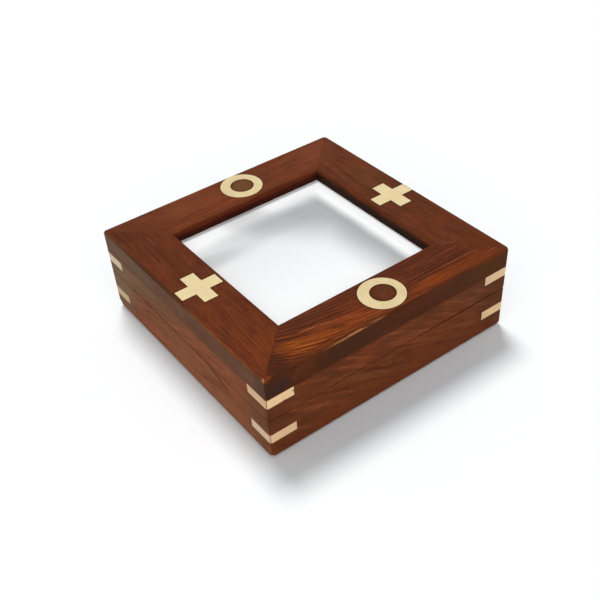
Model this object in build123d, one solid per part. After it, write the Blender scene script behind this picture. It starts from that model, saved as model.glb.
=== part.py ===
# Tic-tac-toe box: a square hardwood case in two equal halves, hinged along the back.
# The lid is a mitred frame round a white panel, inlaid with crosses and rings in brass.
# Inside lies a playing board with a brass grid, and nine brass pieces.
#
# Millimetres. The origin is the middle of the underside, +Z is up and the front faces -Y.

import os
from math import sqrt

from build123d import *

os.makedirs("parts", exist_ok=True)

# Case
side = 152.0
base_height = 25.5
lid_height = 25.5
wall = 10.0
seam_gap = 0.2
corner_radius = 1.2
foot_radius = 2.5
rim_radius = 0.5
top_radius = 1.0
seam_radius = 0.25

# Wear on the case's corners: how far each small facet reaches along x, along y and upright
top_wear = {
    "front_left": (4.6, 2.8, 1.7),
    "front_right": (2.2, 2.2, 2.2),
    "back_right": (2.6, 2.6, 2.6),
    "back_left": (1.8, 1.8, 1.8),
}
split_wear = {
    "front_left": (1.4, 1.4, 1.4),
    "front_right": (1.6, 1.6, 1.6),
    "back_right": (1.6, 1.6, 1.6),
    "back_left": (1.1, 1.1, 1.1),
}
foot_wear = {
    "front_left": (3.8, 3.8, 3.8),
    "front_right": (3.2, 3.2, 3.2),
    "back_right": (3.6, 3.6, 3.6),
    "back_left": (5.6, 5.6, 5.6),
}

# Top frame of the lid
frame_thickness = 11.0
window = 96.0
lip_thickness = 6.5
lip_radius = 1.6
rabbet_width = 7.0
panel_clearance = 0.1
lining_thickness = 2.5
lining_clearance = 0.2

# Inlays in the top frame: how far each stands off the middle of its rail, and each ring's eye off its own
cross_border = 2.25
ring_border = 2.0
inlay_depth = 2.0
cross_arm = 7.8
ring_width = 5.3
glue_gap = 0.1
front_ring_shift = 3.4
back_ring_shift = 6.0
back_ring_outward = 1.2
right_cross_outward = 1.5
front_eye_shift = 0.7
back_eye_shift = 0.4

# Feather keys across the corners. Their slots were sawn a little higher at some corners than at others.
key_thickness = 5.3
key_cover = 3.3
key_end_gap = 0.35
lid_key_drop = 1.1
base_key_drop = 9.5
key_raise = {"front_left": 0.4, "front_right": 0.4, "back_right": 0.0, "back_left": -1.2}

# Bottom and playing board
bottom_thickness = 3.0
bottom_rabbet = 4.0
bottom_clearance = 0.1
board_thickness = 8.0
board_clearance = 0.2
board_margin = 2.8
board_chamfer = 0.6
strip_thickness = 2.0
strip_sunk = 2.5
strip_proud = 1.5

# Loose playing pieces
cells = 3
piece_size = 28.0
piece_thickness = 5.0
piece_arm = 9.0
piece_ring_width = 6.6
piece_radius = 0.5
rest_gap = 0.3

# Butt hinges let into the rims at the back
hinge_length = 25.0
hinge_inset = 31.0
leaf_thickness = 0.9
leaf_cover = 2.0
leaf_clearance = 0.1
knuckle_count = 5
knuckle_radius = 1.9
knuckle_gap = 0.3
knuckle_relief = 0.35
knuckle_standoff = 0.2
pin_radius = 0.8
running_fit = 0.05
pin_head_radius = 1.2
pin_head_length = 0.5

# Countersunk hinge screws
screw_radius = 0.8
screw_head_radius = 1.6
screw_length = 7.0
screw_spacing = 15.0
screw_fit = 0.05
driver_slot = 0.45
driver_slot_turn = 50.0

# Levels and half widths that the pieces share
half = side / 2
cavity = side - 2 * wall
height = base_height + lid_height
base_top = base_height - seam_gap / 2
lid_bottom = base_height + seam_gap / 2
rim_top = height - frame_thickness
panel_top = height - lip_thickness
rail_width = (side - window) / 2
rail_middle = (side + window) / 4
panel_side = window + 2 * rabbet_width
lining_side = cavity - 2 * lining_clearance
cross_size = rail_width - 2 * cross_border
ring_size = rail_width - 2 * ring_border
key_leg = 2 * wall - sqrt(2) * key_cover
lid_key_middle = rim_top - lid_key_drop - key_thickness / 2
base_key_middle = base_top - base_key_drop - key_thickness / 2
bottom_side = cavity + 2 * bottom_rabbet
board_side = cavity - 2 * board_clearance
board_top = bottom_thickness + board_thickness
cell = (board_side - 2 * board_margin) / cells
strip_length = cells * cell
hinge_x = half - hinge_inset
axis_y = half + knuckle_radius + knuckle_standoff
axis_z = base_height
leaf_front = half - wall + leaf_cover
leaf_back = axis_y - knuckle_radius - knuckle_relief
beyond = 5.0

wall_turns = {"front": 0, "right": 90, "back": 180, "left": 270}
corner_turns = {"front_left": 0, "front_right": 90, "back_right": 180, "back_left": 270}
corner_signs = {"front_left": (-1, -1), "front_right": (1, -1), "back_right": (1, 1), "back_left": (-1, 1)}


def save(shape, node):
    export_step(shape, f"parts/{node}.step")


def slab(width, depth, low, high):
    # A square-edged block centred on the origin in plan, between two levels
    return Pos(0, 0, (low + high) / 2) * Box(width, depth, high - low)


def block(x_low, x_high, y_low, y_high, z_low, z_high):
    # A square-edged block given by its six faces
    middle = Pos((x_low + x_high) / 2, (y_low + y_high) / 2, (z_low + z_high) / 2)
    return middle * Box(x_high - x_low, y_high - y_low, z_high - z_low)


def side_profile(low, high, low_radius, high_radius):
    # The case seen from one side, between two levels, with its own rounding below and above
    profile = Rectangle(side, high - low)
    if low_radius > 0:
        profile = fillet(profile.vertices().group_by(Axis.Y)[0], low_radius)
    if high_radius > 0:
        profile = fillet(profile.vertices().group_by(Axis.Y)[-1], high_radius)
    return Pos(0, (low + high) / 2) * profile


def case_block(low, high, low_radius, high_radius):
    # The solid case between two levels: its plan and its two side profiles intersected
    plan = fillet(Rectangle(side, side).vertices(), corner_radius)
    upright = extrude(Pos(0, 0, low - beyond) * plan, high - low + 2 * beyond)
    profile = side_profile(low, high, low_radius, high_radius)
    seen_from_front = extrude(Plane.XZ * profile, side, both=True)
    seen_from_side = extrude(Plane.YZ * profile, side, both=True)
    return upright & seen_from_front & seen_from_side


def wear_corners(shape, wear, level, upward):
    # Cuts the shape's four corners at one level, each by a plane through three points on its arrises
    for corner, (along_x, along_y, upright) in wear.items():
        sign_x, sign_y = corner_signs[corner]
        tip = Vector(sign_x * half, sign_y * half, level)
        on_x = tip - Vector(sign_x * along_x, 0, 0)
        on_y = tip - Vector(0, sign_y * along_y, 0)
        on_arris = tip + Vector(0, 0, upward * upright)
        outward = (on_y - on_x).cross(on_arris - on_x)
        if outward.dot(tip - on_x) < 0:
            outward = outward * -1
        facet = Plane(origin=on_x, x_dir=on_y - on_x, z_dir=outward)
        shape = split(shape, bisect_by=facet, keep=Keep.BOTTOM)
    return shape


def mitre_wedge(turn):
    # A quarter of the plan, bounded by the two mitre planes
    outline = Polyline((0, 0), (-side, -side), (side, -side), close=True)
    wedge = extrude(Pos(0, 0, -beyond) * make_face(outline), height + 2 * beyond)
    return Rot(0, 0, turn) * wedge


def key_prism(turn, middle, leg):
    # A triangular feather across one corner, level with both faces of the case
    outline = Polyline((-half, -half), (-half + leg, -half), (-half, -half + leg), close=True)
    prism = extrude(Pos(0, 0, middle - key_thickness / 2) * make_face(outline), key_thickness)
    return Rot(0, 0, turn) * prism


def cross_plan(size, arm):
    return Rectangle(size, arm) + Rectangle(arm, size)


def ring_plan(size, width, eye_shift=0):
    return Circle(size / 2) - Pos(eye_shift, 0) * Circle(size / 2 - width)


# Corner keys, and the slots sawn for them right through the mitres, a little too long
def save_keys(name, middle, solid_case):
    slots = []
    for corner, turn in corner_turns.items():
        level = middle + key_raise[corner]
        save(key_prism(turn, level, key_leg) & solid_case, f"{name}_key_{corner}")
        slots.append(key_prism(turn, level, key_leg + key_end_gap))
    return slots


# Hinge screws: two in each leaf, pointing down into the base or up into the lid
def screw_solid(direction, surface, fit, length):
    head_depth = screw_head_radius - screw_radius
    shank = Cylinder(screw_radius + fit, length)
    shank = Pos(0, 0, surface + direction * length / 2) * shank
    head = Cone(screw_radius + fit, screw_head_radius + fit, head_depth)
    if direction > 0:
        head = Rot(180, 0, 0) * head
    head = Pos(0, 0, surface + direction * head_depth / 2) * head
    return shank + head


def screw_places():
    middle_y = (leaf_front + leaf_back) / 2
    for hinge in (-hinge_x, hinge_x):
        for step in (-screw_spacing / 2, screw_spacing / 2):
            yield Pos(hinge + step, middle_y, 0)


def screw_set(direction, surface, fit, length):
    return [place * screw_solid(direction, surface, fit, length) for place in screw_places()]


def slotted_screws(direction, surface):
    # The screws themselves, with a driver slot as deep as it is wide across each head
    slot = slab(2 * screw_head_radius + beyond, driver_slot, surface - driver_slot, surface + driver_slot)
    screw = screw_solid(direction, surface, 0, screw_length) - slot
    turns = [Rot(0, 0, driver_slot_turn * index) for index in range(4)]
    return Compound([place * turn * screw for place, turn in zip(screw_places(), turns)])


# Butt hinges
def mortise(x, low, high):
    # The pocket for one leaf, open at the rim and at the back of the case
    reach = hinge_length / 2 + leaf_clearance
    return block(x - reach, x + reach, leaf_front - leaf_clearance, half + beyond, low, high)


def hinge_leaf(x, low, high, first_knuckle, screws):
    # A flat plate with every other knuckle of the barrel rolled on its back edge
    start = x - hinge_length / 2
    leaf = block(start, start + hinge_length, leaf_front, leaf_back, low, high)
    knuckle_length = (hinge_length - (knuckle_count - 1) * knuckle_gap) / knuckle_count
    for index in range(first_knuckle, knuckle_count, 2):
        left = start + index * (knuckle_length + knuckle_gap)
        right = left + knuckle_length
        barrel = Rot(0, 90, 0) * Cylinder(knuckle_radius, knuckle_length)
        leaf += block(left, right, leaf_back - knuckle_gap, axis_y, low, high)
        leaf += Pos((left + right) / 2, axis_y, axis_z) * barrel
    bore = Rot(0, 90, 0) * Cylinder(pin_radius + running_fit, hinge_length + beyond)
    leaf -= Pos(x, axis_y, axis_z) * bore
    for screw in screws:
        leaf -= screw
    return leaf


def hinge_pin(x):
    # A plain pin with a small head closing each end of the barrel
    pin = Cylinder(pin_radius, hinge_length + 2 * pin_head_length)
    for end in (-1, 1):
        head = Cylinder(pin_head_radius, pin_head_length)
        pin += Pos(0, 0, end * (hinge_length + pin_head_length) / 2) * head
    return Pos(x, axis_y, axis_z) * Rot(0, 90, 0) * pin


# Base: four mitred walls, bottom, playing board and grid
def save_base():
    solid_base = case_block(0, base_top, foot_radius, rim_radius)
    solid_base = wear_corners(solid_base, foot_wear, 0, 1)
    solid_base = wear_corners(solid_base, split_wear, base_top, -1)
    ring = solid_base - slab(cavity, cavity, -beyond, height)
    ring -= slab(bottom_side, bottom_side, -beyond, bottom_thickness)
    for slot in save_keys("base", base_key_middle, solid_base):
        ring -= slot
    for x in (-hinge_x, hinge_x):
        ring -= mortise(x, base_top - leaf_thickness, height)
    for pilot in screw_set(-1, base_top, screw_fit, screw_length + screw_fit):
        ring -= pilot
    for name, turn in wall_turns.items():
        save(ring & mitre_wedge(turn), f"base_wall_{name}")

    bottom_fit = bottom_side - 2 * bottom_clearance
    save(slab(bottom_fit, bottom_fit, 0, bottom_thickness), "bottom_board")


def strip(along_x, offset):
    # One bar of the grid, halved over the bars that cross it
    strip_low = board_top - strip_sunk
    strip_high = board_top + strip_proud
    middle = (strip_low + strip_high) / 2
    bar = slab(strip_length, strip_thickness, strip_low, strip_high)
    for crossing in (-cell / 2, cell / 2):
        if along_x:
            notch = slab(strip_thickness, strip_thickness + beyond, middle, height)
        else:
            notch = slab(strip_thickness, strip_thickness + beyond, 0, middle)
        bar -= Pos(crossing, 0, 0) * notch
    if along_x:
        return Pos(0, offset, 0) * bar
    return Pos(offset, 0, 0) * Rot(0, 0, 90) * bar


def save_board():
    board = slab(board_side, board_side, bottom_thickness, board_top)
    board = chamfer(board.faces().sort_by(Axis.Z)[-1].edges(), board_chamfer)
    for offset in (-cell / 2, cell / 2):
        board -= Pos(0, offset, 0) * slab(strip_length, strip_thickness, board_top - strip_sunk, height)
        board -= Pos(offset, 0, 0) * slab(strip_thickness, strip_length, board_top - strip_sunk, height)
    save(board, "playing_board")
    save(strip(True, -cell / 2), "grid_strip_front")
    save(strip(True, cell / 2), "grid_strip_back")
    save(strip(False, -cell / 2), "grid_strip_left")
    save(strip(False, cell / 2), "grid_strip_right")


# Playing pieces: crosses on the corners and the middle, rings on the cells between
def playing_piece(plan):
    low = board_top + rest_gap
    piece = extrude(Pos(0, 0, low) * plan, piece_thickness)
    flat_faces = piece.faces().filter_by(Axis.Z)
    return fillet(flat_faces.edges(), piece_radius)


def save_playing_pieces():
    cross = playing_piece(cross_plan(piece_size, piece_arm))
    ring = playing_piece(ring_plan(piece_size, piece_ring_width))
    counts = {"cross": 0, "ring": 0}
    for row in range(cells):
        for column in range(cells):
            kind = "cross" if (row + column) % 2 == 0 else "ring"
            counts[kind] += 1
            place = Pos((column - 1) * cell, (row - 1) * cell, 0)
            solid = cross if kind == "cross" else ring
            save(place * solid, f"{kind}_piece_{counts[kind]}")


# Lid: four mitred rim walls under a mitred frame, with the panel and its lining
def save_lid_rim():
    solid_rim = case_block(lid_bottom, rim_top, rim_radius, seam_radius)
    solid_rim = wear_corners(solid_rim, split_wear, lid_bottom, 1)
    ring = solid_rim - slab(cavity, cavity, 0, height)
    for slot in save_keys("lid", lid_key_middle, solid_rim):
        ring -= slot
    for x in (-hinge_x, hinge_x):
        ring -= mortise(x, 0, lid_bottom + leaf_thickness)
    for pilot in screw_set(1, lid_bottom, screw_fit, screw_length + screw_fit):
        ring -= pilot
    for name, turn in wall_turns.items():
        save(ring & mitre_wedge(turn), f"lid_rim_{name}")


def inlay(plan, low):
    return extrude(Pos(0, 0, low) * plan, height - low)


def save_top_frame():
    solid_frame = case_block(rim_top, height, seam_radius, top_radius)
    frame = solid_frame - slab(window, window, 0, height + beyond)
    inner_arris = frame.edges().filter_by(GeomType.LINE).group_by(Axis.Z)[-1]
    inner_arris = [edge for edge in inner_arris if edge.length < window + lip_radius]
    frame = fillet(inner_arris, lip_radius)
    frame -= slab(panel_side, panel_side, 0, panel_top)
    frame = wear_corners(frame, top_wear, height, -1)

    places = {
        "inlay_ring_front": Pos(front_ring_shift, -rail_middle, 0),
        "inlay_ring_back": Pos(back_ring_shift, rail_middle + back_ring_outward, 0),
        "inlay_cross_left": Pos(-rail_middle, 0, 0),
        "inlay_cross_right": Pos(rail_middle + right_cross_outward, 0, 0),
    }
    eye_shifts = {"inlay_ring_front": front_eye_shift, "inlay_ring_back": back_eye_shift}
    floor = height - inlay_depth
    for node, place in places.items():
        if "ring" in node:
            eye_shift = eye_shifts[node]
            plan = ring_plan(ring_size, ring_width, eye_shift)
            recess = ring_plan(ring_size + 2 * glue_gap, ring_width + 2 * glue_gap, eye_shift)
        else:
            plan = cross_plan(cross_size, cross_arm)
            recess = cross_plan(cross_size + 2 * glue_gap, cross_arm + 2 * glue_gap)
        frame -= place * inlay(recess, floor)
        save(place * inlay(plan, floor) & solid_frame, node)
    for name, turn in wall_turns.items():
        save(frame & mitre_wedge(turn), f"top_rail_{name}")

    panel_fit = panel_side - 2 * panel_clearance
    save(slab(panel_fit, panel_fit, rim_top, panel_top), "white_panel")
    save(slab(lining_side, lining_side, rim_top - lining_thickness, rim_top), "lid_lining")


# Hinges with their leaves, pins and screws
def save_hinges():
    for name, x in {"left": -hinge_x, "right": hinge_x}.items():
        base_screws = screw_set(-1, base_top, screw_fit, screw_length)
        lid_screws = screw_set(1, lid_bottom, screw_fit, screw_length)
        save(hinge_leaf(x, base_top - leaf_thickness, base_top, 0, base_screws), f"hinge_base_leaf_{name}")
        save(hinge_leaf(x, lid_bottom, lid_bottom + leaf_thickness, 1, lid_screws), f"hinge_lid_leaf_{name}")
        save(hinge_pin(x), f"hinge_pin_{name}")
    save(slotted_screws(-1, base_top), "hinge_screws_base")
    save(slotted_screws(1, lid_bottom), "hinge_screws_lid")


save_base()
save_board()
save_playing_pieces()
save_lid_rim()
save_top_frame()
save_hinges()
print(f"case {side} x {side} x {height}, hinge axis at y {axis_y:.2f} z {axis_z:.2f}")
print(f"cells {cell:.2f} apart, pieces rest at z {board_top + rest_gap:.2f}, lining at {rim_top - lining_thickness:.2f}")
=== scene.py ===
import math

import bpy
from mathutils import Matrix, Vector

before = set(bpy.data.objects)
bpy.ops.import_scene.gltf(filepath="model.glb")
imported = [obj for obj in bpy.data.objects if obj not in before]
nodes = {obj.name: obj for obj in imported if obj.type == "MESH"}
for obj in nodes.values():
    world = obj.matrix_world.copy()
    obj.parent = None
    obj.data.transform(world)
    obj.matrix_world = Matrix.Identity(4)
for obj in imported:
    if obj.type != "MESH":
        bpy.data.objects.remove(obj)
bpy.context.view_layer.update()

print("frame loaded:", len(nodes), "nodes")

# The curve between a screen's colours and linear ones
screenCurve = {"white": 255, "knee": 0.04045, "slope": 12.92, "offset": 0.055, "power": 2.4}
noiseMiddle = 0.5
millimetres = 1000.0    # in a metre


def tone(red, green, blue):
    # a screen colour, 0 to 255, as the linear colour that sockets take
    def linear(part):
        part, offset = part / screenCurve["white"], screenCurve["offset"]
        if part <= screenCurve["knee"]:
            return part / screenCurve["slope"]
        return ((part + offset) / (1 + offset)) ** screenCurve["power"]
    return (linear(red), linear(green), linear(blue), 1)


class Wire:
    # One output socket. Sums and products of wires add the nodes that work them out.
    def __init__(self, paint, socket):
        self.paint = paint
        self.socket = socket

    def __add__(self, other):
        return self.paint.work("ADD", self, other)

    def __radd__(self, other):
        return self.paint.work("ADD", other, self)

    def __sub__(self, other):
        return self.paint.work("SUBTRACT", self, other)

    def __rsub__(self, other):
        return self.paint.work("SUBTRACT", other, self)

    def __mul__(self, other):
        return self.paint.work("MULTIPLY", self, other)

    def __rmul__(self, other):
        return self.paint.work("MULTIPLY", other, self)

    def __truediv__(self, other):
        return self.paint.work("DIVIDE", self, other)

    def __rtruediv__(self, other):
        return self.paint.work("DIVIDE", other, self)


class Paint:
    # One material, or the world, and the nodes in it
    def __init__(self, name, tree=None):
        if tree is None:
            self.material = bpy.data.materials.new(name)
            self.material.use_nodes = True
            tree = self.material.node_tree
        self.tree = tree
        self.tree.nodes.clear()

    def node(self, kind, settings=None, sockets=None, output=0):
        # settings come first, then a value or a wire for each socket
        made = self.tree.nodes.new(kind)
        for name, value in (settings or {}).items():
            if name == "stops":
                self.setStops(made.color_ramp, value)
            else:
                setattr(made, name, value)
        for name, value in (sockets or {}).items():
            if isinstance(value, Wire):
                self.tree.links.new(value.socket, made.inputs[name])
            else:
                made.inputs[name].default_value = value
        if isinstance(output, tuple):    # several outputs
            return [Wire(self, made.outputs[name]) for name in output]
        return Wire(self, made.outputs[output]) if len(made.outputs) else None

    def setStops(self, ramp, stops):
        while len(ramp.elements) < len(stops):
            ramp.elements.new(0.5)    # anywhere, because its place is set below
        for element, (position, colour) in zip(ramp.elements, stops):
            element.position = position
            element.color = colour

    def work(self, operation, first, second):
        # vectors go through Vector Math, and plain values through Math
        wires = [w for w in (first, second) if isinstance(w, Wire)]
        if any(w.socket.type == "VECTOR" for w in wires):
            pair = [w if isinstance(w, (Wire, tuple)) else (w, w, w) for w in (first, second)]
            return self.node(
                "ShaderNodeVectorMath", {"operation": operation}, {0: pair[0], 1: pair[1]})
        return self.maths(operation, first, second)

    def maths(self, operation, first, second=0.0):
        return self.node("ShaderNodeMath", {"operation": operation}, {0: first, 1: second})

    def lesser(self, first, second):
        return self.maths("MINIMUM", first, second)

    def greater(self, first, second):
        return self.maths("MAXIMUM", first, second)

    def size(self, value):
        return self.maths("ABSOLUTE", value)

    def distance(self, across, up):
        return self.maths("SQRT", across * across + up * up)

    def rise(self, value, start, end):
        # 0 before start, 1 after end, smooth between; start may be the larger one
        low, high = min(start, end), max(start, end)
        first, last = (0.0, 1.0) if start < end else (1.0, 0.0)
        return self.node("ShaderNodeMapRange", {"interpolation_type": "SMOOTHSTEP"}, {
            "Value": value, "From Min": low, "From Max": high, "To Min": first, "To Max": last})

    def vector(self, x, y, z):
        return self.node("ShaderNodeCombineXYZ", None, {"X": x, "Y": y, "Z": z})

    def parts(self, vector):
        return self.node("ShaderNodeSeparateXYZ", None, {0: vector}, (0, 1, 2))

    def noise(self, vector, look, scale=1.0, output="Fac"):
        return self.node("ShaderNodeTexNoise", {"noise_dimensions": "3D"}, {
            "Vector": vector, "Scale": scale, "Detail": look["detail"],
            "Roughness": look["rough"]}, output)

    def mix(self, factor, first, second):
        # of the node's sockets, inputs 6 and 7 and output 2 are the ones for colours
        return self.node("ShaderNodeMix", {"data_type": "RGBA"}, {
            0: factor, 6: first, 7: second}, 2)

    def place(self):
        # where the point lies in the frame, in millimetres
        return self.node("ShaderNodeTexCoord", output="Object") * millimetres

    def bump(self, height, depth, strength=1.0):
        # height is a share of depth, which is in millimetres
        return self.node("ShaderNodeBump", None, {
            "Height": height, "Distance": depth / millimetres, "Strength": strength})

    def surface(self, sockets):
        shader = self.node("ShaderNodeBsdfPrincipled", None, sockets)
        self.node("ShaderNodeOutputMaterial", None, {"Surface": shader})
        return self.material


def dress(name, material):
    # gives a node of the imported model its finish
    mesh = nodes[name].data
    mesh.materials.clear()
    mesh.materials.append(material)


def patch(at, reach, amount=1.0, colour=None, lean=None, streaked=0.0):
    # a place with a soft edge: its middle and half sizes in millimetres, its strength and tone,
    # its slant, and how far the streaks of the grain break it up
    return {"at": at, "reach": reach, "amount": amount, "tone": colour, "lean": lean,
            "streaked": streaked}


def softSpot(paint, point, spot):
    # 1 in the middle of an ellipsoid and 0 outside it, with a soft edge
    run = [part - middle for part, middle in zip(point, spot["at"])]
    if spot["lean"]:
        # a slanting one: how far it drifts along one axis for each millimetre of another
        drifts, follows, slope = spot["lean"]
        run[drifts] = run[drifts] - run[follows] * slope
    steps = [part / reach for part, reach in zip(run, spot["reach"])]
    away = sum(step * step for step in steps)
    return paint.rise(away, 1.0, 0.0) * spot["amount"]


# Measures of the box that the finishes line up with, in millimetres
box = {"half": 76.0, "top": 51.0, "window": 48.0}

# The figure of the wood: how often each noise turns in a millimetre along and across the grain
figures = {
    "bands": {"along": 0.012, "across": 0.17, "detail": 3.0, "rough": 0.55},
    "streaks": {"along": 0.055, "across": 0.80, "detail": 2.0, "rough": 0.5},
    "fibres": {"along": 0.09, "across": 2.3, "detail": 2.0, "rough": 0.55},
    "hairs": {"along": 0.20, "across": 6.0, "detail": 1.0, "rough": 0.5},
    "curl": {"along": 0.075, "across": 0.085, "detail": 2.0, "rough": 0.5},    # bars of light
    "crowd": {"along": 0.025, "across": 0.45, "detail": 1.0, "rough": 0.5},    # where pores gather
    "pores": {"along": 0.26, "across": 4.6, "detail": 1.0, "rough": 0.4},
    "mottle": {"along": 0.045, "across": 0.24, "detail": 4.0, "rough": 0.65},
    "wander": {"along": 0.022, "across": 0.05, "detail": 2.0, "rough": 0.5},
    "clouds": {"every": 0.04, "detail": 3.0, "rough": 0.55},
    "stroke": {"detail": 1.0, "rough": 0.5}}

# Where a mask starts and where it is full
levels = {
    "pores": (0.61, 0.70), "crowd": (0.36, 0.60), "clouds": (0.46, 0.66), "threads": (0.44, 0.34),
    "stroke": (0.54, 0.70), "strokeFibres": (0.36, 0.60), "streaked": (0.44, 0.56),
    "broken": (0.40, 0.56), "lateWood": (0.45, 0.90), "lateEnd": (1.0, 0.93),
    "earlyWood": (0.02, 0.18), "earlyEnd": (0.46, 0.26), "ragged": (0.36, 0.52),
    "mottle": (0.46, 0.64), "worn": (1.0, 0.45), "wornStreaks": (0.30, 0.58),
    "mitre": (0.42, 0.12), "corner": (20.0, 44.0), "deep": (48.9, 47.6)}

# How much of each of two figures goes into a mask
blends = {"threads": (0.65, 0.35), "streaked": (0.7, 0.3), "even": (0.5, 0.5)}

# The rest of what all boards share; distances in millimetres
woodLook = {
    "stops": (0.38, 0.46, 0.54, 0.62),    # where the four tones stand in the figure
    "cloudsAt": (3.7, 4.1), "seedSteps": (31.0, 7.0, 13.0), "strokeSeed": 5.0,
    "mottled": 0.6, "edge": 0.25, "lip": (0.2, 0.5), "lipSoft": 0.7, "deepRagged": 2.0,
    "seamDepth": (1.5, 0.5), "mitreRagged": 0.6, "gloss": 0.025, "poreDepth": 0.05,
    "roughness": {"fibres": 0.25, "pores": 0.15},
    "height": {"pores": 0.8, "fibres": 0.25, "hairs": 0.12, "glue": 0.3}}

# What a board has unless its own entry says otherwise
plainWood = {
    "fine": 1.0, "slopeAcross": 0.0, "slopeDown": 0.0, "weights": (0.30, 0.32, 0.26, 0.12),
    "curl": 0.22, "warmAmount": 0.5, "coolAmount": 0.5, "threads": 0.45,
    "spots": [], "marks": [], "edgeSpots": [], "glue": []}
plainRings = {"breaks": 1.0}
plainOuter = {"inset": 1.1, "ragged": 3.0}
plainInner = {"reach": 2.2, "under": box["top"]}

# The line of glue round an inlay: half sizes, and how soft the line is
seams = {
    "ring": {"outside": (12.9, 12.1), "eye": (4.9, 6.3)},
    "cross": {"reach": 11.75, "arm": 3.9, "outside": (1.1, 0.1)}}


class Grain:
    # One board: where a point lies in it, and the figure that runs along it
    def __init__(self, paint, wood):
        self.paint = paint
        self.place = paint.place()
        self.point = self.x, self.y, self.z = paint.parts(self.place)
        self.plan = paint.greater(paint.size(self.x), paint.size(self.y))
        self.lengthwise = self.x if wood["along"] == "x" else self.y
        self.along, self.across, self.depth = self.turn(wood)
        self.bands, self.streaks, self.fibres, self.hairs = [
            self.figure(kind, wood["fine"]) for kind in ("bands", "streaks", "fibres", "hairs")]
        self.curl, self.crowd, pores = [
            self.figure(kind, wood["fine"]) for kind in ("curl", "crowd", "pores")]
        self.pores = paint.rise(pores, *levels["pores"]) * paint.rise(self.crowd, *levels["crowd"])

    def turn(self, wood):
        # along, across and depth of the grain, with the slope, fan and wander of this board
        paint, seed = self.paint, wood["seed"]
        along, across, depth = self.x, self.y, self.z
        if wood["along"] == "y":
            along, across = across, along
        if "fan" in wood:
            fan = wood["fan"]
            spread = paint.maths("POWER", math.e, (along - fan["from"]) * (-1 / fan["fades"]))
            across = across - spread * fan["sweep"]
        across = across - along * wood["slopeAcross"]
        depth = depth - along * wood["slopeDown"]
        look = figures["wander"]
        slow = paint.vector(
            along * look["along"] + seed, across * look["across"], depth * look["across"])
        wanderAcross, wanderDepth = paint.parts(paint.noise(slow, look, output="Color"))[:2]
        across = across + (wanderAcross - noiseMiddle) * wood["wander"]
        depth = depth + (wanderDepth - noiseMiddle) * wood["wander"]
        steps = woodLook["seedSteps"]
        return along + seed * steps[0], across + seed * steps[1], depth + seed * steps[2]

    def figure(self, kind, scale=1.0):
        look = figures[kind]
        turned = self.paint.vector(
            self.along * look["along"], self.across * look["across"], self.depth * look["across"])
        return self.paint.noise(turned, look, scale)


def blend(kind, first, second):
    shares = blends[kind]
    return first * shares[0] + second * shares[1]


def inlaySeam(paint, grain, inlay):
    # the line of glue round an inlay, and round the island that stands inside a ring
    seam = seams[inlay["shape"]]
    fromX, fromY = grain.x - inlay["at"][0], grain.y - inlay["at"][1]
    if inlay["shape"] == "ring":
        away = paint.distance(fromX, fromY)
        eye = paint.distance(fromX - inlay["eye"], fromY)
        return paint.rise(away, *seam["outside"]) * paint.rise(eye, *seam["eye"])
    wide, tall = paint.size(fromX), paint.size(fromY)
    flat = paint.greater(wide - seam["reach"], tall - seam["arm"])
    upright = paint.greater(wide - seam["arm"], tall - seam["reach"])
    return paint.rise(paint.lesser(flat, upright), *seam["outside"])


def figureColour(paint, wood, grain):
    figured = zip((grain.bands, grain.streaks, grain.fibres, grain.hairs), wood["weights"])
    value = sum(part * weight for part, weight in figured)
    value = value + (grain.curl - noiseMiddle) * wood["curl"]
    stops = [(at, tone(*shade)) for at, shade in zip(woodLook["stops"], wood["tones"])]
    colour = paint.node("ShaderNodeValToRGB", {"stops": stops}, {"Fac": value}, "Color")

    # the hue drifts from one part of the board to the next
    seedStep, height = woodLook["cloudsAt"]
    drift = grain.place * figures["clouds"]["every"] + (wood["seed"] * seedStep, 0.0, height)
    clouds = paint.noise(drift, figures["clouds"], output="Color")
    warm, cool = [paint.rise(part, *levels["clouds"]) for part in paint.parts(clouds)[:2]]
    colour = paint.mix(warm * wood["warmAmount"], colour, tone(*wood["warm"]))
    colour = paint.mix(cool * wood["coolAmount"], colour, tone(*wood["cool"]))

    # fine dark threads
    threads = paint.rise(blend("threads", grain.fibres, grain.hairs), *levels["threads"])
    return paint.mix(threads * wood["threads"], colour, tone(*wood["pore"]))


def addStrokes(paint, wood, grain, colour):
    # lighter strokes that run down across the board, where the figure catches the light
    strokes = wood["strokes"]
    rising = grain.z - grain.lengthwise * strokes["slope"]
    field = paint.vector(
        grain.lengthwise * strokes["long"], rising * strokes["thin"],
        wood["seed"] * woodLook["strokeSeed"])
    stroke = paint.rise(paint.noise(field, figures["stroke"]), *levels["stroke"])
    stroke = stroke * paint.rise(grain.fibres, *levels["strokeFibres"])
    return paint.mix(stroke * strokes["amount"], colour, tone(*strokes["tone"]))


def addSpots(paint, wood, grain, colour):
    # places where this board is lighter, darker or more golden
    for spot in wood["spots"]:
        mask = softSpot(paint, grain.point, spot)
        if spot["streaked"] > 0:
            lines = blend("streaked", grain.streaks, grain.hairs)
            lines = paint.rise(lines, *levels["streaked"])
            mask = mask * (1.0 - spot["streaked"] + lines * spot["streaked"])
        colour = paint.mix(mask, colour, tone(*spot["tone"]))
    return colour


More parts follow.
